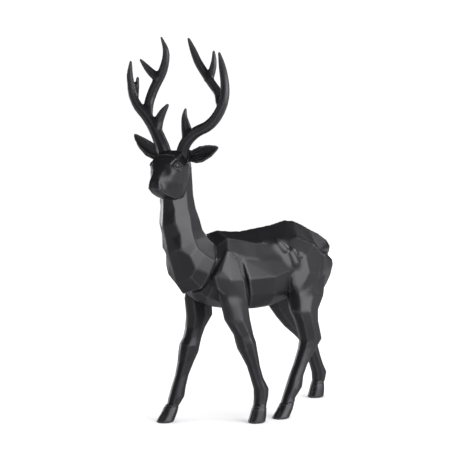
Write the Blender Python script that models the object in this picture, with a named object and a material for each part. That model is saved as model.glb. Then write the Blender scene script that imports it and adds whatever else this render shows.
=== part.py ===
"""A walking stag, cast in one piece of black resin and cut in large flat facets.

The stag looks along -Y, its left side is +X and it stands on Z = 0. The form is drawn in
millimetres at a height of DRAWN_HEIGHT, with X = 0 on the middle of the body, and is scaled to
FIGURE_HEIGHT. At the end it is centred on the box that it fills.
"""

import math

import bmesh
import bpy
from mathutils import Matrix, Vector

FIGURE_HEIGHT = 0.440  # metres, from the soles to the highest antler tip
DRAWN_HEIGHT = 440.0  # the height in millimetres at which the tables below are drawn
UNIT = FIGURE_HEIGHT / DRAWN_HEIGHT

# Sizes in metres that can be set by themselves.
TRACK = 0.072  # between the middles of the left and the right hooves
HOOF_LENGTH = 0.023
HOOF_WIDTH = 0.019
HOOF_HEIGHT = 0.019
SOLE_BEVEL = 0.0012
EAR_WIDTH = 0.0190
EAR_THICKNESS = 0.0066
EAR_HOLLOW = 0.0030
LEFT_EAR_SAG = 0.0008  # how far the ear's middle hangs below a straight line
RIGHT_EAR_SAG = 0.0040
ANTLER_GIRTH = 0.0165  # across the right beam at the skull

HEAD_TURN = math.radians(18)  # towards the stag's left
HEAD_PIVOT = (0, -118)  # X and Y of the upright axis that the head is turned about

SOLE_LEVEL = 2.0  # the height in drawn millimetres at which the soles lie

WELD = 1e-6
FLATTENING = 40  # steps

# Cuts across the neck, from the throat down to the chest: the keel point and the spine point as
# (along, up) and, between them, the corners of the left side as (out, along, up). The right
# side mirrors the left. The corners of one column make one of the neck's long bent edges.
NECK = (
    ((-138, 284), (4, -136, 286), (8, -132, 288), (11, -119, 292), (9, -108, 298), (-101, 303)),
    ((-141, 259), (5, -139, 260), (11, -138, 261), (13, -117, 263), (9, -105, 264), (-99, 264)),
    ((-142, 245), (6, -138, 247), (13, -135, 251), (15, -118, 250), (11, -103, 250), (-97, 249)),
    ((-142, 230), (7, -139, 232), (14, -136, 235), (18, -117, 238), (13, -99, 238), (-92, 237)),
    ((-139, 217), (8, -135, 219), (17, -131, 222), (20, -117, 227), (14, -96, 226), (-87, 227)),
    ((-135, 204), (11, -135, 204), (20, -133, 204), (23, -116, 216), (15, -91, 218), (-81, 221)),
    ((-130, 185), (14, -127, 185), (26, -123, 199), (26, -114, 207), (17, -87, 213), (-76, 217)),
    ((-122, 167), (20, -119, 172), (28, -117, 183), (28, -103, 198), (18, -84, 210), (-72, 216)),
    ((-114, 151), (24, -100, 162), (29, -98, 178), (29, -90, 191), (19, -82, 207), (-68, 217)),
)
# How far the front edge of the right side lies back at each of these cuts, because the neck
# bends to the left with the turn of the head.
NECK_BEND = (0, 0, 0, 0, 1, 4, 4.5, 1, 0)
NECK_POLES = ((0, -118, 304), (0, -60, 190))

# Cuts across the trunk in the same way, from the breast to the rump, with five corners a side.
TRUNK = (
    ((-100, 152), (12, -97, 154), (19, -93, 163), (22, -90, 176), (25, -85, 192), (17, -81, 206),
     (-72, 216)),
    ((-92, 143), (17, -91, 148), (24, -89, 160), (25, -86, 174), (28, -79, 193), (21, -75, 208),
     (-67, 220)),
    ((-68, 134), (22, -67, 141), (30, -67, 156), (31, -68, 176), (29, -70, 202), (22, -66, 215),
     (-61, 222)),
    ((-45, 131), (20, -44, 134), (30, -44, 150), (33, -46, 168), (31, -46, 192), (23, -45, 212),
     (-39, 218.5)),
    ((-26, 129), (21, -26, 133), (32, -24, 150), (35, -24, 168), (31, -27, 190), (25, -25, 205),
     (-25, 220)),
    ((-4, 127), (20, -3, 133), (31, -3, 148), (34, -6, 168), (31, -14, 187), (23, -13, 207),
     (0, 221)),
    ((16, 128), (16, 15, 133), (25, 17, 148), (31, 15, 174), (28, 10, 190), (22, 7, 206),
     (22, 224)),
    ((28, 131), (15, 28, 136), (24, 28, 149), (29, 30, 173), (28, 28, 192), (23, 27, 207),
     (44, 229)),
    ((44, 135), (16, 44, 141), (26, 44, 150), (32, 44, 172), (32, 43, 190), (22, 43, 210),
     (59, 226)),
    ((66, 139), (18, 64, 142), (33, 66, 144), (34, 66, 167), (31, 64, 186), (28, 64, 199),
     (72, 221)),
    ((84, 143), (16, 82, 145), (27, 81, 144), (32, 78, 167), (28, 81, 187), (21, 74, 199),
     (80, 217)),
    ((98, 150), (11, 97, 151), (19, 97, 150), (20, 97, 168), (20, 97, 181), (18, 87, 189),
     (99, 208)),
    ((107, 158), (7, 106, 158), (12, 108, 158), (13, 114, 171), (12, 112, 178), (9, 105, 186),
     (113, 199)),
)
TRUNK_POLES = ((0, -96, 182), (0, 119, 178))

# Plates that stand proud of each side of the trunk, as the outer corners of a convex block
# (out, along, up). Every plate starts inside the trunk, PLATE_ROOT from the middle.
PLATE_ROOT = 20
SHOULDER = (
    (31, -73, 202), (34, -59, 190), (39, -55, 168), (38, -49, 141), (36, -65, 144),
    (34, -78, 150), (31, -87, 159), (30, -91, 173), (33, -83, 181), (38, -74, 169),
)
RIBS = (
    (30, -51, 193), (32, -45, 188), (32, -15, 186), (39, -7, 168), (39, -47, 168),
    (34, -2, 148), (34, -40, 150), (22, -2, 133), (21, -30, 131), (33, 30, 175),
    (28, 32, 190), (28, 30, 150),
)
HAUNCH = (
    (24, 27, 207), (23, 43, 210), (29, 65, 200), (35, 46, 188), (33, 43, 190),
    (30, 27, 196), (29, 77, 190), (36, 67, 167), (39, 48, 169), (33, 33, 177),
    (34, 24, 159), (39, 30, 144), (37, 38, 125), (35, 61, 135), (35, 67, 143),
)

# Two long folds of skin between the ribs and the hip: (middle, length, width, height, slant).
# The slant is how far the lower end lies behind the upper one, as a share of the length.
FOLDS = (((25, 16, 204), 21, 11, 4, 0.72), ((32, 28, 188), 27, 12, 4, 0.55))

FOLD_LEAN = 0.36  # how far the folds lean inwards, as a share of their height

# The tail: corners of a convex block, of which the left ones are mirrored.
TAIL = (
    (0, 82, 216.5), (0, 100, 209), (0, 115, 200), (0, 121, 192), (0, 119, 185), (18, 76, 199),
    (18, 87, 191), (9, 107, 190), (0, 88, 190), (0, 112, 180),
)

# The head, in its own upright plane: the chin line's point and the brow line's point as
# (forward, up) and, between them, the corners of the left side as (out, forward, up).
HEAD = (
    ((-4, 272), (7, -4, 273), (11, -6, 282), (12, -8, 294), (9, -6, 305), (-4, 308)),
    ((4, 262), (11, 6, 265), (15, 7, 280), (16, 6, 298), (12, 6, 311), (6, 315)),
    ((18, 261), (12, 18, 262), (17, 18, 279), (19, 21, 298), (15, 20, 311), (18, 315)),
    ((26, 261), (11, 26, 263), (17, 27, 280), (19, 29, 297), (15, 27, 309), (27, 311)),
    ((35, 264), (10, 34, 265), (14, 33, 279), (17, 32, 293), (13, 34, 305), (36, 306)),
    ((42, 267), (9, 42, 268), (11, 41, 277), (11, 40, 288), (8, 41, 298), (42, 298)),
    ((48, 270), (8, 48, 271), (9, 48, 277), (9, 48, 285), (6, 48, 292), (48, 292)),
    ((53, 274), (7, 52, 275), (7, 53, 278), (7, 53, 283), (6, 51, 288), (51, 288)),
)
HEAD_POLES = ((0, -12, 288), (0, 54, 281))

# Lids round the eye: the corners of a slanting diamond (out, forward, up), and how far it
# stands out and how far its eyeball lies back.
EYE = ((17, 36, 299), (17, 31, 304), (19, 20, 298), (19, 29, 294))
LID = 1.2

EAR_ROOT = (11, 3, 305)  # out, forward, up
LEFT_EAR_TIP = (60, 13, 320)
RIGHT_EAR_TIP = (53, 12, 333)
EAR_CUTS = (  # share of the way from root to tip, and of the full width
    (-0.04, 0.30), (0.10, 0.45), (0.28, 0.88), (0.48, 1.00), (0.72, 0.78), (0.90, 0.38),
)

# Branches of the antlers, as (out, forward, up, girth as a share of the beam's at the skull).
LEFT_ANTLER = (
    ((8, 9, 306, 0.90), (10, 10, 311, 0.86), (13, 11, 319, 0.82), (20, 12, 328, 0.82),
     (31, 13, 336, 0.81), (45, 14, 342, 0.78), (56, 15, 351, 0.74), (64, 15, 364, 0.70),
     (67, 14, 378, 0.66), (66, 13, 392, 0.60), (62, 11, 407, 0.50), (57, 9, 422, 0.20)),
    ((19, 11, 327, 0.90), (15, 9.5, 340, 0.72), (12, 8, 352, 0.42), (13, 7, 361, 0.19)),
    ((60, 13, 366, 0.58), (54, 6, 378, 0.62), (43, 2, 389, 0.62), (32, -1, 401, 0.62),
     (23, -3, 412, 0.58), (16, -4, 425, 0.48), (10, -4, 438, 0.22)),
    ((37, 0, 390, 0.66), (42, -1, 402, 0.54), (44, -2, 413, 0.40), (43, -3, 424, 0.20)),
)
RIGHT_ANTLER = (
    ((8, 9, 306, 1.00), (12, 11, 311, 1.00), (15, 11, 319, 0.96), (22, 11, 333, 0.90),
     (29, 12, 345, 0.82), (37, 13, 355, 0.76), (45, 14, 363, 0.68), (52, 14, 375, 0.61),
     (55, 13, 387, 0.54), (57, 12, 398, 0.46), (57, 10, 413, 0.20)),
    ((24, 11, 335, 0.92), (21, 9, 347, 0.70), (16, 8, 357, 0.52), (10, 7, 365, 0.25)),
    ((50, 11, 372, 0.44), (51, 7, 383, 0.36), (51, 5, 395, 0.23)),
    ((34, 11, 352, 0.70), (37, 4, 366, 0.70), (34, 0, 380, 0.71), (29, -2, 391, 0.70),
     (23, -3, 402, 0.66), (19, -3, 415, 0.56), (19, -3, 426, 0.45), (25, -3, 440, 0.16)),
    ((26, -2, 393, 0.76), (36, -1, 400, 0.60), (43, 0, 407, 0.46), (50, 1, 415, 0.20)),
)
ANTLER_SIDES = 8
ANTLER_STEP = 7.0  # the longest stretch between two rings, in drawn millimetres

# The legs, as cuts from the top down: (share of half the track, along, up, fore, aft, side).
LEFT_FORE = (
    (0.70, -66, 158, 18, 18, 9), (0.80, -63, 143, 19, 22, 10), (0.85, -59, 122, 17, 19, 10.5),
    (0.89, -50, 104, 12, 12, 10.5), (0.90, -47, 96, 12.5, 12, 11.5), (0.91, -45, 88, 12, 11.5, 11),
    (0.92, -41, 79, 10, 10, 9.5), (0.93, -36, 67, 8, 8, 7.5), (0.94, -31, 53, 7.8, 8, 7.2),
    (0.96, -26, 40, 8, 11, 8.2), (0.97, -26, 30, 8, 9.5, 8), (0.98, -28, 21, 7.6, 8, 7.4),
)
RIGHT_FORE = (
    (0.70, -66, 158, 20, 17, 9), (0.79, -64, 143, 22, 17, 11), (0.85, -62, 122, 18, 18, 12),
    (0.89, -67, 108, 12.5, 12, 11), (0.90, -71, 97, 11.5, 11, 10.5), (0.91, -74.5, 89, 13, 12, 11.5),
    (0.92, -76, 80, 13, 11.5, 11), (0.93, -80, 70, 10, 10, 9.5), (0.94, -86, 54, 8.2, 8.2, 7.6),
    (0.96, -91, 40, 8.2, 9.5, 8), (0.97, -94, 30, 8.4, 11, 8.4), (0.98, -98, 21, 7.2, 8, 7.2),
)
LEFT_HIND = (
    (0.60, 58, 160, 30, 34, 12), (0.82, 48, 140, 24, 30, 15), (0.95, 42, 125, 19, 22, 13),
    (0.98, 45, 112, 14.5, 17.5, 12), (1.00, 49, 99, 14.5, 17, 11), (1.00, 51, 90, 14, 18, 10.5),
    (1.00, 47, 81, 12, 13.5, 9.5), (1.00, 42, 72, 10.5, 10.5, 8.8), (1.00, 36, 62, 8.6, 9, 8.2),
    (1.00, 29, 49, 8.6, 9.4, 8.2), (1.00, 24, 36, 9, 13, 8.8), (1.00, 17, 24.5, 7.8, 8.6, 7.4),
)
RIGHT_HIND = (
    (0.55, 58, 160, 30, 34, 12), (0.78, 66, 140, 27, 28, 14), (0.92, 76, 121, 24, 20, 13),
    (0.95, 85, 107, 19, 17, 12), (0.96, 97, 94, 17, 14, 11), (0.97, 112, 82, 15, 13, 10),
    (0.98, 118, 75, 12, 14, 9.5), (0.98, 121, 67, 10, 12, 9), (0.98, 128, 54, 8.8, 9.4, 8.2),
    (0.99, 133, 43, 8.6, 9.6, 8.2), (0.99, 137, 33, 8.8, 12, 8.4), (1.00, 137, 22, 7.6, 9.4, 7.4),
)

RESIN_COLOUR = (0.018, 0.018, 0.020, 1.0)
RESIN_ROUGHNESS = 0.42


def solid(faces_of):
    """A mesh made by faces_of(bmesh), closed, triangulated and with its faces pointing out."""
    mesh = bmesh.new()
    faces_of(mesh)
    bmesh.ops.triangulate(mesh, faces=mesh.faces)
    bmesh.ops.recalc_face_normals(mesh, faces=mesh.faces)
    data = bpy.data.meshes.new("carving")
    mesh.to_mesh(data)
    mesh.free()
    return data


def loft(rings, start, end, flattening=0):
    """A closed skin over rings of corners, drawn to a point at each end.

    The four-cornered facets are made flat in as many small steps as flattening says.
    """

    def faces_of(mesh):
        rows = [[mesh.verts.new(corner) for corner in ring] for ring in rings]
        for row, following in zip(rows, rows[1:]):
            for i in range(len(row)):
                j = (i + 1) % len(row)
                mesh.faces.new((row[i], row[j], following[j], following[i]))
        if flattening:
            mesh.normal_update()
            bmesh.ops.planar_faces(mesh, faces=mesh.faces, iterations=flattening, factor=0.5)
        for row, pole in ((rows[0], start), (rows[-1], end)):
            tip = mesh.verts.new(pole)
            for i in range(len(row)):
                mesh.faces.new((row[i], row[(i + 1) % len(row)], tip))

    return solid(faces_of)


def block(corners):
    """The convex block that has these corners."""

    def faces_of(mesh):
        points = [mesh.verts.new(corner) for corner in corners]
        made = bmesh.ops.convex_hull(mesh, input=points)
        bmesh.ops.delete(mesh, geom=made["geom_interior"], context="VERTS")

    return solid(faces_of)


def mirrored(points):
    return [Vector((-point[0], point[1], point[2])) for point in points]


def cut(row, bend=0):
    """One cut, from the low point up the left side to the high point and down the right."""
    low, *corners, high = row
    left = [Vector(corner) for corner in corners]
    right = mirrored(left)
    for corner in right[:2]:
        corner.x *= 1 - bend / 30
        corner.y += bend
    return [Vector((0, *low)), *left, Vector((0, *high)), *reversed(right)]


def neck_and_trunk():
    neck = loft([cut(row, bend) for row, bend in zip(NECK, NECK_BEND)], *NECK_POLES, FLATTENING)
    trunk = loft([cut(row) for row in TRUNK], *TRUNK_POLES, FLATTENING)
    return [trunk, neck]


def plates():
    """The shoulder, ribs and haunch on both sides."""
    made = []
    for corners in (SHOULDER, RIBS, HAUNCH):
        face = [Vector(corner) for corner in corners]
        root = [Vector((PLATE_ROOT, corner.y, corner.z)) for corner in face]
        made += [block(face + root), block(mirrored(face + root))]
    return made


def folds():
    """Long ridges with pointed ends, lying aslant on each flank."""
    made = []
    for middle, length, width, height, slant in FOLDS:
        along = Vector((0, slant, -math.sqrt(1 - slant * slant))) * length / 2
        across = Vector((0, along.z, -along.y)).normalized() * width / 2
        corners = []
        for reach, spread in ((-height, 1.0), (0, 1.0), (height * 0.5, 0.5)):
            middle_here = Vector(middle) + Vector((reach, 0, 0))
            for share in (-1.0, 1.0):
                corners.append(middle_here + along * share * (0.5 + spread / 2))
                corners.append(middle_here + along * share * 0.5 + across * spread)
                corners.append(middle_here + along * share * 0.5 - across * spread)
        for corner in corners:
            corner.x -= (corner.z - middle[2]) * FOLD_LEAN
        made += [block(corners), block(mirrored(corners))]
    return made


def tail():
    """A short broad tail laid down the rump, with one flat face on each side."""
    left = [Vector(corner) for corner in TAIL]
    return [block(left + mirrored(left))]


def head_place():
    """Turns points from the head's own frame (out, forward, up) to the body's."""
    facing = Matrix.Rotation(HEAD_TURN, 4, "Z") @ Matrix.Scale(-1, 4, (0, 1, 0))
    return Matrix.Translation((*HEAD_PIVOT, 0)) @ facing


def head():
    place = head_place()
    rings = [[place @ corner for corner in cut(row)] for row in HEAD]
    nape, nose = (place @ Vector(pole) for pole in HEAD_POLES)
    return [loft(rings, nape, nose, FLATTENING)]


def lids():
    """A raised diamond round each eye."""
    place = head_place()
    made = []
    for side in (1, -1):
        flip = Matrix.Scale(side, 4, (1, 0, 0))
        middle = sum((Vector(corner) for corner in EYE), Vector()) / len(EYE)
        outward = Vector((LID, LID * 0.4, 0))
        corners = []
        for corner in EYE:
            corner = Vector(corner)
            corners += [corner - outward * 2, corner, middle.lerp(corner, 0.75) + outward * 0.6]
        made.append(block([place @ flip @ corner for corner in corners]))
    return made


def leg(cuts, side, toe_reach):
    """One leg and its hoof, whose middle lies toe_reach in front of the pastern's. side is 1 or -1."""
    half_track = TRACK / UNIT / 2

    def ring(x, y, z, fore, aft, half_width):
        corners = (
            (0, -1), (0.72, -0.72), (1, 0), (0.72, 0.72), (0, 1), (-0.72, 0.72), (-1, 0), (-0.72, -0.72),
        )
        return [
            Vector((x + half_width * across, y + (fore if along < 0 else aft) * along, z))
            for across, along in corners
        ]

    rings = [
        ring(side * share * half_track, y, z, fore, aft, half_width)
        for share, y, z, fore, aft, half_width in cuts
    ]
    foot = side * half_track
    heel = cuts[-1][1]
    length, width = HOOF_LENGTH / UNIT / 2, HOOF_WIDTH / UNIT / 2
    top, bevel = HOOF_HEIGHT / UNIT, SOLE_BEVEL / UNIT
    toe, sole = heel - toe_reach, SOLE_LEVEL
    rings += [
        ring(foot, heel - 0.6, sole + top, length * 0.76, length * 0.72, width * 0.84),
        ring(foot, heel - toe_reach / 2, sole + top / 2, length * 0.88, length * 0.84, width * 0.94),
        ring(foot, toe, sole + bevel, length, length * 0.92, width),
        ring(foot, toe, sole, length - bevel, length * 0.92 - bevel, width - bevel),
    ]
    crown = Vector((side * cuts[0][0] * half_track, cuts[0][1], cuts[0][2] + cuts[0][5]))
    return loft(rings, crown, (foot, toe, sole))


def legs():
    return [
        leg(LEFT_FORE, 1, 5), leg(RIGHT_FORE, -1, 11), leg(LEFT_HIND, 1, 12), leg(RIGHT_HIND, -1, 4),
    ]


def ear(tip, sag, side):
    """A leaf of six cuts from the root to the tip, with a hollow facing forward."""
    place = head_place() @ Matrix.Scale(side, 4, (1, 0, 0))
    root, tip = Vector(EAR_ROOT), Vector(tip)
    along = (tip - root).normalized()
    across = Vector((-along.z, 0, along.x)).normalized()
    forward = along.cross(across).normalized()
    if forward.y < 0:
        forward = -forward
    half, thick = EAR_WIDTH / UNIT / 2, EAR_THICKNESS / UNIT / 2
    hollow = EAR_HOLLOW / UNIT
    rings = []
    for reach, spread in EAR_CUTS:
        centre = root.lerp(tip, reach) - across * sag / UNIT * math.sin(math.pi * max(reach, 0))
        wide, deep = half * spread, thick * (0.35 + 0.65 * spread)
        outline = (
            (1.0, 0.3), (0.85, 1.0), (0.0, 1.0 - hollow / deep * min(1.0, spread)), (-0.85, 1.0),
            (-1.0, 0.3), (-0.6, -0.6), (0.0, -1.0), (0.6, -0.6),
        )
        rings.append([
            place @ (centre + across * wide * x + forward * deep * y) for x, y in outline
        ])
    return loft(rings, place @ root.lerp(tip, EAR_CUTS[0][0] - 0.05), place @ tip)


def ears():
    return [ear(LEFT_EAR_TIP, LEFT_EAR_SAG, 1), ear(RIGHT_EAR_TIP, RIGHT_EAR_SAG, -1)]


def curve_through(points):
    """A smooth run of points through these, by Catmull-Rom. Each point is a 4D vector."""
    padded = [points[0] * 2 - points[1], *points, points[-1] * 2 - points[-2]]
    run = []
    for a, b, c, d in zip(padded, padded[1:], padded[2:], padded[3:]):
        steps = max(1, math.ceil((c.xyz - b.xyz).length / ANTLER_STEP))
        for step in range(steps):
            t = step / steps
            run.append(
                (b * 2 + (c - a) * t + (a * 2 - b * 5 + c * 4 - d) * t**2
                 + (b * 3 - a - c * 3 + d) * t**3) / 2
            )
    return [*run, points[-1]]


def branch(points, side):
    """A round branch along a smooth line, thinning to a blunt tip."""
    place = head_place() @ Matrix.Scale(side, 4, (1, 0, 0))
    run = curve_through([Vector(point) for point in points])
    radius = ANTLER_GIRTH / UNIT / 2
    centres = [place @ point.xyz for point in run]
    across = Vector((0, 1, 0))
    rings = []
    for i, centre in enumerate(centres):
        before, after = centres[max(i - 1, 0)], centres[min(i + 1, len(centres) - 1)]
        line = (after - before).normalized()
        across = (across - line * across.dot(line)).normalized()
        other = line.cross(across)
        rings.append([
            centre + (across * math.cos(turn) + other * math.sin(turn)) * radius * run[i].w
            for turn in (math.tau * k / ANTLER_SIDES for k in range(ANTLER_SIDES))
        ])
    first, last = centres[0] * 2 - centres[1], centres[-1]
    tip = last + (last - centres[-2]).normalized() * radius * run[-1].w
    return loft(rings, centres[0].lerp(first, 0.2), tip)


def antlers():
    made = [branch(points, 1) for points in LEFT_ANTLER]
    return made + [branch(points, -1) for points in RIGHT_ANTLER]


def joined(pieces):
    """All pieces made into one solid."""
    objects = [bpy.data.objects.new("carving", piece) for piece in pieces]
    for item in objects:
        bpy.context.scene.collection.objects.link(item)
    first, *others = objects
    for other in others:
        union = first.modifiers.new("join", "BOOLEAN")
        union.operation = "UNION"
        union.solver = "EXACT"
        union.object = other
    bpy.context.view_layer.update()
    graph = bpy.context.evaluated_depsgraph_get()
    data = bpy.data.meshes.new_from_object(first.evaluated_get(graph))
    for item in objects:
        bpy.data.objects.remove(item)
    return data


def centred(data):
    """Scales the drawn form to metres and centres it on its own box, with its soles at Z = 0."""
    data.transform(Matrix.Scale(UNIT, 4))
    corners = [vertex.co for vertex in data.vertices]
    low, high = (Vector([side(corner[i] for corner in corners) for i in range(3)]) for side in (min, max))
    middle = (low + high) / 2
    data.transform(Matrix.Translation((-middle.x, -middle.y, -low.z)))
    return data


def resin():
    material = bpy.data.materials.new("black_resin")
    material.use_nodes = True
    shader = material.node_tree.nodes["Principled BSDF"]
    shader.inputs["Base Color"].default_value = RESIN_COLOUR
    shader.inputs["Roughness"].default_value = RESIN_ROUGHNESS
    shader.inputs["Metallic"].default_value = 0.0
    return material


def main():
    for old in list(bpy.data.objects):
        bpy.data.objects.remove(old)
    pieces = neck_and_trunk() + plates() + folds() + tail()
    pieces += head() + lids() + ears() + legs() + antlers()
    data = centred(joined(pieces))
    mesh = bmesh.new()
    mesh.from_mesh(data)
    bmesh.ops.remove_doubles(mesh, verts=mesh.verts, dist=WELD)
    bmesh.ops.triangulate(mesh, faces=mesh.faces)
    mesh.to_mesh(data)
    mesh.free()
    data.materials.clear()
    data.materials.append(resin())
    stag = bpy.data.objects.new("stag", data)
    bpy.context.scene.collection.objects.link(stag)


main()
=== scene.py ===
"""A walking stag, cast in black resin, with softened facets, carved face, ears and hooves."""

import math

import bmesh
import bpy
import numpy as np
from bpy.props import FloatProperty, FloatVectorProperty, IntProperty, PointerProperty
from mathutils import Matrix, Vector
from mathutils.bvhtree import BVHTree

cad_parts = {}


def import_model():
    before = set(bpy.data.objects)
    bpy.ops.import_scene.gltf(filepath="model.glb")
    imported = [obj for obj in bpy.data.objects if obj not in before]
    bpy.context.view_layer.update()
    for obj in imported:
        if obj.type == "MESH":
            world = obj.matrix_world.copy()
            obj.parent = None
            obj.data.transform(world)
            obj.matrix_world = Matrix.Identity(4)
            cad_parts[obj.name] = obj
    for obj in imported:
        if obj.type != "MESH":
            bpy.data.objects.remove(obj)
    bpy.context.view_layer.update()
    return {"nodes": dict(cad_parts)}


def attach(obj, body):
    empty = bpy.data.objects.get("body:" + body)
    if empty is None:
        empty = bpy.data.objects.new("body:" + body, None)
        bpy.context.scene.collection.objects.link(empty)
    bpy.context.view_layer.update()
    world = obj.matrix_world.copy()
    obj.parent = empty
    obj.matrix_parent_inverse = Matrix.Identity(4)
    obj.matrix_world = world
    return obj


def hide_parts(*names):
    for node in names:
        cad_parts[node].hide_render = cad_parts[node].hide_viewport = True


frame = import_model()

bl_info = {
    "name": "Faceted Stag Figurine",
    "version": (1, 0, 0),
    "blender": (4, 5, 0),
    "location": "3D View > Sidebar > Stag",
    "description": "Builds a black cast stag with large facets and its studio",
    "category": "Object",
}

# The stag's carving is drawn in millimetres about the middle of its body. In the frame it is
# centred on its own box instead, and this is where the middle of the body then lies.
BODY_MIDDLE = Vector((-0.00960, 0.01079, -0.00200))
HEAD_TURN = math.radians(18)
HEAD_PIVOT = Vector((0, -0.118, 0))

MILLIMETRE = 0.001


class StagCasting(bpy.types.PropertyGroup):
    """Sizes of the casting's surface."""

    grain: FloatProperty(
        name="Grain",
        description="Spacing of the surface points",
        default=0.00120,
        min=0.0006,
        unit="LENGTH",
    )
    triangles: IntProperty(
        name="Triangles",
        description="How many triangles the surface keeps, most of them where it curves",
        default=185000,
        min=20000,
    )
    softness: IntProperty(
        name="Softness",
        description="How many times the facet edges are eased",
        default=3,
        min=0,
    )
    black: FloatVectorProperty(
        name="Black",
        description="Colour of the painted resin",
        subtype="COLOR",
        default=(0.0092, 0.0091, 0.0104),
    )
    # The colour of sharp edges: partly paint abraded on the casting, partly a painted highlight
    # standing in for light caught on rounded edges.
    worn_and_highlit: FloatVectorProperty(
        name="Edges",
        description="Colour of the resin along rubbed edges",
        subtype="COLOR",
        default=(0.048, 0.047, 0.051),
    )
    roughness: FloatProperty(
        name="Roughness",
        description="Roughness of the satin paint",
        subtype="FACTOR",
        default=0.33,
        min=0.05,
        max=1.0,
    )


class StagStudio(bpy.types.PropertyGroup):
    """The camera's place and the brightness of the lights."""

    azimuth: FloatProperty(
        name="Azimuth",
        description="Where the camera stands, turned from the stag's front to its left",
        subtype="ANGLE",
        default=math.radians(48),
    )
    elevation: FloatProperty(
        name="Elevation",
        description="How far the camera looks down",
        subtype="ANGLE",
        default=math.radians(4.91),
    )
    distance: FloatProperty(
        name="Distance",
        description="From the camera to the point it looks at",
        unit="LENGTH",
        default=2.05,
    )
    lens: FloatProperty(
        name="Lens",
        description="Focal length in millimetres on a 36 mm sensor",
        default=140.9,
    )
    key: FloatProperty(name="Key", description="Power of the softbox in watts", default=18.0)
    backdrop: FloatProperty(
        name="Backdrop", description="Power of the white backdrop in watts", default=20.0
    )
    rim: FloatProperty(name="Rim", description="Power of the rim light in watts", default=2.2)


def body_point(out, along, up):
    """A point of the drawn body, in millimetres, as a place in the frame."""
    return Vector((out, along, up)) * MILLIMETRE + BODY_MIDDLE


def head_point(out, forward, up):
    """A point of the head (to its left, forward and up, in millimetres) as a place in the frame."""
    turned = Matrix.Rotation(HEAD_TURN, 3, "Z") @ Vector((out, -forward, up))
    return turned * MILLIMETRE + HEAD_PIVOT + BODY_MIDDLE


# The paint and the floor.

MOTTLE = (0.8, 1.25)  # the darkest and the lightest paint, as shares of the black
SATIN_PATCHES = (-0.03, 0.05)  # how much the roughness falls and rises in patches
RUBBED_AND_HIGHLIT = (0.506, 0.54)  # how sharp an edge is where the lighter edge colour (abraded paint and a painted highlight) begins, and where it is full
FLOOR_SEEN = (0.96, 0.96, 0.96, 1)
FLOOR_REFLECTED = (0.31, 0.31, 0.32, 1)  # in the gloss of the paint


def add(tree, kind, place, **values):
    """One shader node with its values set."""
    node = tree.nodes.new(kind)
    node.location = place
    for name, value in values.items():
        if name in node.inputs:
            node.inputs[name].default_value = value
        else:
            setattr(node, name, value)
    return node


def black_resin(casting):
    """Satin black paint on cast resin: a faint mottle, fine orange peel, and sharp edges painted
    lighter, partly as abraded paint and partly as a painted highlight.
    """
    material = bpy.data.materials.new("black_resin_satin")
    material.use_nodes = True
    tree = material.node_tree
    shader = tree.nodes["Principled BSDF"]
    link = tree.links.new
    place = add(tree, "ShaderNodeTexCoord", (-1100, 0))

    mottle = add(tree, "ShaderNodeTexNoise", (-850, 250), Scale=55.0, Detail=4.0, Roughness=0.6)
    link(place.outputs["Object"], mottle.inputs["Vector"])
    tint = add(tree, "ShaderNodeMix", (-450, 300), data_type="RGBA")
    tint.inputs["A"].default_value = (*[MOTTLE[0] * value for value in casting.black], 1)
    tint.inputs["B"].default_value = (*[MOTTLE[1] * value for value in casting.black], 1)
    link(mottle.outputs["Fac"], tint.inputs["Factor"])

    # Sharp edges are painted lighter by pointiness: partly abraded paint, partly a painted
    # highlight where rounded edges would catch the light.
    edge = add(tree, "ShaderNodeNewGeometry", (-850, 550))
    rubbed_and_highlit = add(tree, "ShaderNodeMapRange", (-650, 550))
    rubbed_and_highlit.inputs["From Min"].default_value = RUBBED_AND_HIGHLIT[0]
    rubbed_and_highlit.inputs["From Max"].default_value = RUBBED_AND_HIGHLIT[1]
    link(edge.outputs["Pointiness"], rubbed_and_highlit.inputs["Value"])
    wear_and_highlight = add(tree, "ShaderNodeMix", (-250, 400), data_type="RGBA")
    wear_and_highlight.inputs["B"].default_value = (*casting.worn_and_highlit, 1)
    link(rubbed_and_highlit.outputs["Result"], wear_and_highlight.inputs["Factor"])
    link(tint.outputs["Result"], wear_and_highlight.inputs["A"])
    link(wear_and_highlight.outputs["Result"], shader.inputs["Base Color"])

    patches = add(tree, "ShaderNodeTexNoise", (-850, -50), Scale=22.0, Detail=3.0)
    link(place.outputs["Object"], patches.inputs["Vector"])
    satin = add(tree, "ShaderNodeMapRange", (-450, -50))
    satin.inputs["From Min"].default_value = 0.3
    satin.inputs["From Max"].default_value = 0.7
    satin.inputs["To Min"].default_value = casting.roughness + SATIN_PATCHES[0]
    satin.inputs["To Max"].default_value = casting.roughness + SATIN_PATCHES[1]
    link(patches.outputs["Fac"], satin.inputs["Value"])
    link(satin.outputs["Result"], shader.inputs["Roughness"])

    peel = add(tree, "ShaderNodeTexNoise", (-850, -350), Scale=900.0, Detail=2.0)
    link(place.outputs["Object"], peel.inputs["Vector"])
    bump = add(tree, "ShaderNodeBump", (-250, -350), Strength=0.06, Distance=0.0003)
    link(peel.outputs["Fac"], bump.inputs["Height"])
    link(bump.outputs["Normal"], shader.inputs["Normal"])
    return material


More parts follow.
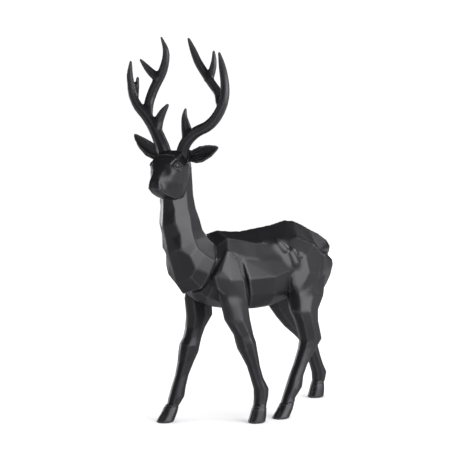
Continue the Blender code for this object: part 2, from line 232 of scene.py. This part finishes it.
def pale_floor():
    """Matt white to the eye, light grey in what the stag reflects."""
    material = bpy.data.materials.new("pale_floor")
    material.use_nodes = True
    tree = material.node_tree
    shader = tree.nodes["Principled BSDF"]
    shader.inputs["Roughness"].default_value = 1.0
    shader.inputs["Specular IOR Level"].default_value = 0.0
    ray = add(tree, "ShaderNodeLightPath", (-600, 0))
    tint = add(tree, "ShaderNodeMix", (-300, 0), data_type="RGBA")
    tint.inputs["A"].default_value = FLOOR_SEEN
    tint.inputs["B"].default_value = FLOOR_REFLECTED
    tree.links.new(ray.outputs["Is Glossy Ray"], tint.inputs["Factor"])
    tree.links.new(tint.outputs["Result"], shader.inputs["Base Color"])
    return material


# The casting.

SIDES = (1, -1)  # left and right

# Where the points lie twice as close as elsewhere: round the head, and once more round each eye.
HEAD_MIDDLE = (0, 24, 290)
HEAD_REACH = 0.040
EYE = (18, 30, 300)
EYE_REACH = 0.0115

# A point of the even surface goes onto a facet that is nearer than this share of the grain.
NEAR_FACET = 0.7

# The antlers begin this far up, in metres, and the filling of their forks sets in over the fade.
ANTLER_FOOT = 0.316
ANTLER_FADE = 0.004
FORK_ROUNDS = 16

# Where planes run into each other, as (reach in metres, rounds): the cheeks, the surroundings of
# the eyes and the tops of the near legs.
CHEEK = (13, 41, 286)
CHEEK_EASING = (0.011, 60)
EYE_EASING = (0.009, 70)
LEG_TOPS = ((40, -70, 137), (41, 36, 138))
LEG_EASING = (0.013, 50)

FULL_SHARE = 0.5  # how far an eased point goes in a round
FADE_END = 1.6  # where the easing round a place ends, as a share of its reach


def surface(mesh):
    """A tree that finds the nearest point of a mesh."""
    return BVHTree.FromPolygons(
        [vertex.co for vertex in mesh.vertices], [face.vertices for face in mesh.polygons]
    )


def closer_points(mesh, middle, reach):
    """Halves the spacing of the points within reach of the middle."""
    work = bmesh.new()
    work.from_mesh(mesh)
    edges = [
        edge for edge in work.edges
        if all((corner.co - middle).length < reach for corner in edge.verts)
    ]
    bmesh.ops.subdivide_edges(work, edges=edges, cuts=1, use_grid_fill=True)
    work.to_mesh(mesh)
    work.free()


def even_skin(node, grain):
    """A copy of the node's mesh with evenly spaced points that lie on its facets."""
    piece = bpy.data.objects.new("stag_cast", node.data.copy())
    bpy.context.scene.collection.objects.link(piece)
    remesh = piece.modifiers.new("even", "REMESH")
    remesh.mode = "VOXEL"
    remesh.voxel_size = grain
    bpy.context.view_layer.update()
    graph = bpy.context.evaluated_depsgraph_get()
    skin = bpy.data.meshes.new_from_object(piece.evaluated_get(graph))
    piece.modifiers.clear()
    piece.data = skin
    closer_points(skin, head_point(*HEAD_MIDDLE), HEAD_REACH)
    facets = surface(node.data)
    for vertex in skin.vertices:
        place, _, _, distance = facets.find_nearest(vertex.co)
        if distance < NEAR_FACET * grain:
            vertex.co = place
    return piece


def points_of(mesh):
    """The mesh's points, one in a row."""
    points = np.empty(len(mesh.vertices) * 3)
    mesh.vertices.foreach_get("co", points)
    return points.reshape(-1, 3)


def normals_of(mesh):
    """The outward direction at each point."""
    normals = np.empty(len(mesh.vertices) * 3)
    mesh.vertex_normals.foreach_get("vector", normals)
    return normals.reshape(-1, 3)


def put_points(mesh, points):
    """Moves the mesh's points to these places."""
    mesh.vertices.foreach_set("co", points.ravel())
    mesh.update()


def eased(mesh, rounds, share=FULL_SHARE, filling=False):
    """Moves every point towards the mean of its neighbours, so that edges grow soft.

    share is how much of the way it goes in a round, for all points or for each. With filling,
    points only move outwards, which fills the corners between branches.
    """
    ends = np.empty(len(mesh.edges) * 2, dtype=np.int64)
    mesh.edges.foreach_get("vertices", ends)
    first, second = ends.reshape(-1, 2).T
    count = np.bincount(ends, minlength=len(mesh.vertices))[:, None]
    points = points_of(mesh)
    for _ in range(rounds):
        total = np.zeros_like(points)
        for axis in range(3):
            total[:, axis] = np.bincount(first, points[second, axis], len(points))
            total[:, axis] += np.bincount(second, points[first, axis], len(points))
        step = (total / count - points) * share
        if filling:
            put_points(mesh, points)
            step *= np.sum(step * normals_of(mesh), axis=1, keepdims=True) > 0
        points += step
    put_points(mesh, points)


def filled_forks(mesh):
    """Rounds out the forks of the antlers, as a carver leaves them."""
    height = points_of(mesh)[:, 2] - head_point(0, 0, 0).z
    share = np.clip((height - ANTLER_FOOT) / ANTLER_FADE, 0, 1) * FULL_SHARE
    eased(mesh, FORK_ROUNDS, share[:, None], filling=True)


def softened(mesh, middles, reach, rounds, filling=False):
    """Eases the surface more than the rest round some places, and less and less beyond reach."""
    points = points_of(mesh)
    share = np.zeros(len(points))
    for middle in middles:
        away = np.linalg.norm(points - np.array(middle), axis=1)
        share = np.maximum(share, np.clip(FADE_END - away / reach, 0, 1) * FULL_SHARE)
    eased(mesh, rounds, share[:, None], filling)


def softened_planes(mesh):
    """Eases the cheeks, the surroundings of the eyes and the tops of the near legs.

    Round each eye the points then lie closer, for the carving.
    """
    cheeks, eyes = (
        [head_point(side * out, forward, up) for side in SIDES] for out, forward, up in (CHEEK, EYE)
    )
    softened(mesh, cheeks, *CHEEK_EASING)
    softened(mesh, eyes, *EYE_EASING)
    for eye in eyes:
        closer_points(mesh, eye, EYE_REACH)
    softened(mesh, [body_point(*middle) for middle in LEG_TOPS], *LEG_EASING)


# The fine carving.


def away_from(points, path):
    """How far each point lies from a line of straight stretches."""
    nearest = np.full(len(points), np.inf)
    for start, end in zip(path, path[1:]):
        start, stretch = np.array(start), np.array(end - start)
        share = np.clip((points - start) @ stretch / max(stretch @ stretch, 1e-12), 0, 1)
        reach = np.linalg.norm(points - start - share[:, None] * stretch, axis=1)
        nearest = np.minimum(nearest, reach)
    return nearest


def carved(mesh, path, width, height, foot=2.0):
    """Raises a soft ridge of this full width along the path, or sinks a groove, if height < 0.

    With foot at 1 its foot is a crease, and from 2 up it runs out smoothly.
    """
    points, normals = points_of(mesh), normals_of(mesh)
    share = np.clip(1 - (2 * away_from(points, path) / width) ** 2, 0, 1) ** foot
    put_points(mesh, points + normals * (share * height)[:, None])


PATH_STEPS = 4  # from one corner of a path to the next


def laid_on(facets, path):
    """The path's points moved to the nearest places on the facets, with more points between."""
    shares = [step / PATH_STEPS for step in range(PATH_STEPS)]
    full = [start.lerp(end, share) for start, end in zip(path, path[1:]) for share in shares]
    return [facets.find_nearest(point)[0] for point in (*full, path[-1])]


# Lines of the head's carving, as (out, forward, up) on its left side, with the full width and
# the height of each; a groove has a height below 0.
HEAD_LINES = (
    (((13.3, 37, 295), (13.1, 39, 284)), 0.0220, 0.0013),  # cheekbone
    (((9, 48, 292), (9, 50, 282)), 0.0240, -0.0014),  # before the cheekbone
    (((14.8, 40, 302), (18, 32.5, 309)), 0.0034, 0.0006),  # brow
    (((15, 38.5, 301.5), (17, 33, 305), (19, 24, 298.5), (18, 32, 297), (15, 38.5, 301.5)),
     0.0022, -0.0016),  # eyelids
    (((16.6, 34, 301.9), (17.6, 30.5, 301)), 0.0045, 0.0003),  # eyeball
    (((5.2, 52, 287.7), (6.2, 51, 282.7), (5.3, 50, 274.2)), 0.0030, 0.0004),  # edge of the nose
)
# The same for lines that run across its middle.
MIDDLE_LINES = (
    (((-11, 29, 311), (0, 29, 311), (11, 29, 311)), 0.0034, 0.0011),  # band of the brow
    (((-5, 55, 275), (0, 56, 275), (5, 55, 275)), 0.0160, 0.0010),  # foot of the nose
)


def carved_head(mesh, facets):
    """Eyes, brows, cheeks and nose, and the band across the forehead."""
    for corners, width, height in HEAD_LINES:
        for side in SIDES:
            path = [head_point(side * out, *rest) for out, *rest in corners]
            carved(mesh, laid_on(facets, path), width, height)
    for corners, width, height in MIDDLE_LINES:
        path = [head_point(*corner) for corner in corners]
        carved(mesh, laid_on(facets, path), width, height)


# The hollow of each ear: its root and its tip, as (out, forward, up), and the side.
EARS = (((11, 3, 305), (60, 13, 320), 1), ((11, 3, 305), (53, 12, 333), -1))
EAR_FRONT = Vector((0, 6, 0))  # from the middle of the ear to its hollow
EAR_RIBS = (-5.0, -1.8, 1.6, 4.8)  # how far up each groove ends, in millimetres
EAR_RIMS = (-7.6, 7.6)  # how far below and above the middle the rims stand

# Along an ear, as (share of its length, share of the spread to that side).
RIB_START = ((0.16, 0.4), (0.32, 0.8))
RIM_COURSE = ((0.22, 0.55), (0.45, 1.0), (0.72, 0.8), (1.0, 0.1))
RIB_END, RIB_END_SHORTER = 0.56, 0.02  # an outer rib ends sooner, by so much a millimetre
RIB_WIDTH, RIB_DEPTH = 0.0024, 0.0010
RIM_WIDTH, RIM_HEIGHT = 0.0026, 0.0006


def carved_ears(mesh, facets):
    """Grooves that fan out in the hollow of each ear, and its raised rims."""
    for root, tip, side in EARS:
        root, tip = Vector(root), Vector(tip)
        across = Vector((root.z - tip.z, 0, tip.x - root.x)).normalized()

        def line(spread, shares):
            corners = [
                root.lerp(tip, share) + across * spread * fan + EAR_FRONT for share, fan in shares
            ]
            path = [head_point(side * corner.x, corner.y, corner.z) for corner in corners]
            return laid_on(facets, path)

        for spread in EAR_RIBS:
            end = RIB_END - abs(spread) * RIB_END_SHORTER
            carved(mesh, line(spread, (*RIB_START, (end, 1.0))), RIB_WIDTH, -RIB_DEPTH)
        for spread in EAR_RIMS:
            carved(mesh, line(spread, RIM_COURSE), RIM_WIDTH, RIM_HEIGHT)


# Each hoof: the middle of its sole, as (out, along), and how far its toe lies in front.
HOOVES = ((36, -33, 11), (-36, -109, 11), (36, 5, 11), (-36, 133, 11))
HOOF_TOP = 19.5  # up, where the hair begins
SOLE = 2.0
HAIR_LINE_WIDTH, HAIR_LINE_DEPTH = 0.0024, 0.0006
CLEFT_WIDTH, CLEFT_DEPTH = 0.0028, 0.0012
CLEFT_FOOT, CLEFT_TOP, CLEFT_LEAN = 1, 3, 4  # above the sole, below the hair line, and backwards


def carved_hooves(mesh, facets):
    """A groove under the hair line of each hoof, and a cleft down the front of its toe."""
    points, normals = points_of(mesh), normals_of(mesh)
    line = body_point(0, 0, HOOF_TOP).z
    share = np.clip(1 - (2 * (points[:, 2] - line) / HAIR_LINE_WIDTH) ** 2, 0, 1) ** 2
    put_points(mesh, points - normals * (share * HAIR_LINE_DEPTH)[:, None])
    for out, along, toe in HOOVES:
        path = [
            body_point(out, along - toe, SOLE + CLEFT_FOOT),
            body_point(out, along - toe + CLEFT_LEAN, HOOF_TOP - CLEFT_TOP),
        ]
        carved(mesh, laid_on(facets, path), CLEFT_WIDTH, -CLEFT_DEPTH)


# The skin folds, drawn on the left flank: the two ends, as (out, along, up), the full width and
# the height.
FLANK_FOLDS = (
    ((27, 13, 206), (28, 18, 198), 0.0140, 0.0019),
    ((31, 27, 193), (33, 30, 182), 0.0145, 0.0019),
    ((34, 38, 190), (34, 40, 188), 0.0060, -0.0009),
)
FOLD_FOOT = 1.6

# Where the flank is first filled and eased, so that the folds stand on an even ground.
FLANK_GROUND = ((26, 6, 203), (27, 16, 204), (32, 28, 188))
FLANK_REACH = 0.0115
FLANK_FILLING, FLANK_EASING = 80, 120  # rounds


def carved_flanks(mesh):
    """Soft folds of skin before both hips."""
    ground = [body_point(side * out, *rest) for side in SIDES for out, *rest in FLANK_GROUND]
    softened(mesh, ground, FLANK_REACH, FLANK_FILLING, filling=True)
    softened(mesh, ground, FLANK_REACH, FLANK_EASING)
    flank = surface(mesh)
    for start, end, width, height in FLANK_FOLDS:
        for side in SIDES:
            path = laid_on(flank, [body_point(side * out, *rest) for out, *rest in (start, end)])
            carved(mesh, path, width, height, foot=FOLD_FOOT)


def thinned(piece, triangles):
    """Keeps this many triangles, by joining the small ones on the flat facets."""
    count = sum(len(face.vertices) - 2 for face in piece.data.polygons)
    fewer = piece.modifiers.new("fewer", "DECIMATE")
    fewer.ratio = min(1.0, triangles / count)
    bpy.context.view_layer.update()
    graph = bpy.context.evaluated_depsgraph_get()
    mesh = bpy.data.meshes.new_from_object(piece.evaluated_get(graph))
    piece.modifiers.clear()
    piece.data = mesh


class STAG_OT_casting(bpy.types.Operator):
    """Build the casting, with softened facets"""

    bl_idname = "stag.casting"
    bl_label = "Stag"

    def execute(self, context):
        casting = context.scene.stag_casting
        node = frame["nodes"]["stag"]
        piece = even_skin(node, casting.grain)
        eased(piece.data, casting.softness)
        filled_forks(piece.data)
        softened_planes(piece.data)
        facets = surface(node.data)
        carved_flanks(piece.data)
        carved_head(piece.data, facets)
        carved_ears(piece.data, facets)
        carved_hooves(piece.data, facets)
        thinned(piece, casting.triangles)
        for face in piece.data.polygons:
            face.use_smooth = True
        piece.data.materials.clear()
        piece.data.materials.append(black_resin(casting))
        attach(piece, "root")
        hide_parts("stag")
        return {"FINISHED"}


# The studio.


def camera_axes(studio):
    """The camera's right, up and backward directions."""
    turn, tilt = studio.azimuth, studio.elevation
    back = Vector(
        (math.sin(turn) * math.cos(tilt), -math.cos(turn) * math.cos(tilt), math.sin(tilt))
    )
    right = Vector((math.cos(turn), math.sin(turn), 0))
    return right, back.cross(right), back


LOOKED_AT = body_point(8, -49, 222)
SENSOR = 36  # millimetres
FLOOR_SIZE = 60  # metres
COOL_WHITE = (1.0, 0.985, 1.035)
FILL_SHARE = 0.06  # of the softbox's power
SEEN_WHITE = 1.06  # strength of the world where it is seen
REFLECTED_GREY = (0.040, 0.040, 0.043, 1)  # the world in what the stag reflects

# Each light: where it stands (right, up, towards the camera), how far away, and its two sides.
SOFTBOX = ((0.80, 0.22, 0.52), 1.4, (1.4, 1.0))
SIDE_FILL = ((0.95, 0.1, -0.20), 1.5, (0.8, 0.8))
RIM_LIGHT = ((0.74, 0.44, -0.52), 1.6, (0.4, 0.4))
BACKDROP = ((-0.5, 0.0, -1.0), 1.8, (3.4, 0.7))


def camera(studio):
    """The camera at the photograph's angle."""
    right, up, back = camera_axes(studio)
    data = bpy.data.cameras.new("camera")
    data.lens = studio.lens
    data.sensor_width = SENSOR
    item = bpy.data.objects.new("camera", data)
    item.matrix_world = Matrix.Translation(LOOKED_AT + back * studio.distance) @ Matrix(
        (right, up, back)
    ).transposed().to_4x4()
    bpy.context.scene.collection.objects.link(item)
    bpy.context.scene.camera = item


def soft_light(name, studio, direction, distance, size, power):
    """A rectangular light that faces the stag."""
    right, up, back = camera_axes(studio)
    towards = (right * direction[0] + up * direction[1] + back * direction[2]).normalized()
    data = bpy.data.lights.new(name, "AREA")
    data.shape = "RECTANGLE"
    data.size, data.size_y = size
    data.energy = power
    data.color = COOL_WHITE
    item = bpy.data.objects.new(name, data)
    item.location = LOOKED_AT + towards * distance
    item.rotation_euler = (-towards).to_track_quat("-Z", "Y").to_euler()
    item.visible_camera = False
    bpy.context.scene.collection.objects.link(item)


def floor():
    """A wide plain floor under the soles."""
    bpy.ops.mesh.primitive_plane_add(size=FLOOR_SIZE, location=(0, 0, 0))
    plane = bpy.context.object
    plane.name = "floor"
    plane.data.materials.append(pale_floor())


def world():
    """White to the eye, dim grey in what the stag reflects."""
    background = bpy.data.worlds.new("studio")
    bpy.context.scene.world = background
    background.use_nodes = True
    tree = background.node_tree
    tree.nodes.clear()
    out = add(tree, "ShaderNodeOutputWorld", (400, 0))
    pick = add(tree, "ShaderNodeMixShader", (200, 0))
    ray = add(tree, "ShaderNodeLightPath", (-100, 250))
    white = add(tree, "ShaderNodeBackground", (-100, 0), Color=(1, 1, 1, 1), Strength=SEEN_WHITE)
    dim = add(tree, "ShaderNodeBackground", (-100, -150), Color=REFLECTED_GREY)
    tree.links.new(ray.outputs["Is Glossy Ray"], pick.inputs["Fac"])
    tree.links.new(white.outputs[0], pick.inputs[1])
    tree.links.new(dim.outputs[0], pick.inputs[2])
    tree.links.new(pick.outputs[0], out.inputs[0])


class STAG_OT_studio(bpy.types.Operator):
    """Build the floor, the lights and the camera"""

    bl_idname = "stag.studio"
    bl_label = "Studio"

    def execute(self, context):
        studio = context.scene.stag_studio
        camera(studio)
        floor()
        world()
        soft_light("softbox", studio, *SOFTBOX, studio.key)
        soft_light("side_fill", studio, *SIDE_FILL, studio.key * FILL_SHARE)
        soft_light("rim_light", studio, *RIM_LIGHT, studio.rim)
        soft_light("backdrop", studio, *BACKDROP, studio.backdrop)
        context.scene.view_settings.view_transform = "Standard"
        return {"FINISHED"}


class STAG_PT_panel(bpy.types.Panel):
    """Lists the pieces and the studio in the sidebar"""

    bl_label = "Stag"
    bl_idname = "STAG_PT_panel"
    bl_space_type = "VIEW_3D"
    bl_region_type = "UI"
    bl_category = "Stag"

    def draw(self, context):
        """One button for each operator, under the values it uses"""
        column = self.layout.column()
        casting, studio = context.scene.stag_casting, context.scene.stag_studio
        for name in ("grain", "softness", "triangles", "black", "worn_and_highlit", "roughness"):
            column.prop(casting, name)
        column.operator("stag.casting")
        for name in ("azimuth", "elevation", "distance", "lens", "key", "rim", "backdrop"):
            column.prop(studio, name)
        column.operator("stag.studio")


CLASSES = (StagCasting, StagStudio, STAG_OT_casting, STAG_OT_studio, STAG_PT_panel)


def register():
    """Makes the classes and their values known."""
    for item in CLASSES:
        bpy.utils.register_class(item)
    bpy.types.Scene.stag_casting = PointerProperty(type=StagCasting)
    bpy.types.Scene.stag_studio = PointerProperty(type=StagStudio)


def unregister():
    """Takes them back."""
    del bpy.types.Scene.stag_studio
    del bpy.types.Scene.stag_casting
    for item in reversed(CLASSES):
        bpy.utils.unregister_class(item)


def main():
    """Builds the stag and its studio."""
    register()
    bpy.ops.stag.casting()
    bpy.ops.stag.studio()


if __name__ == "__main__":
    main()
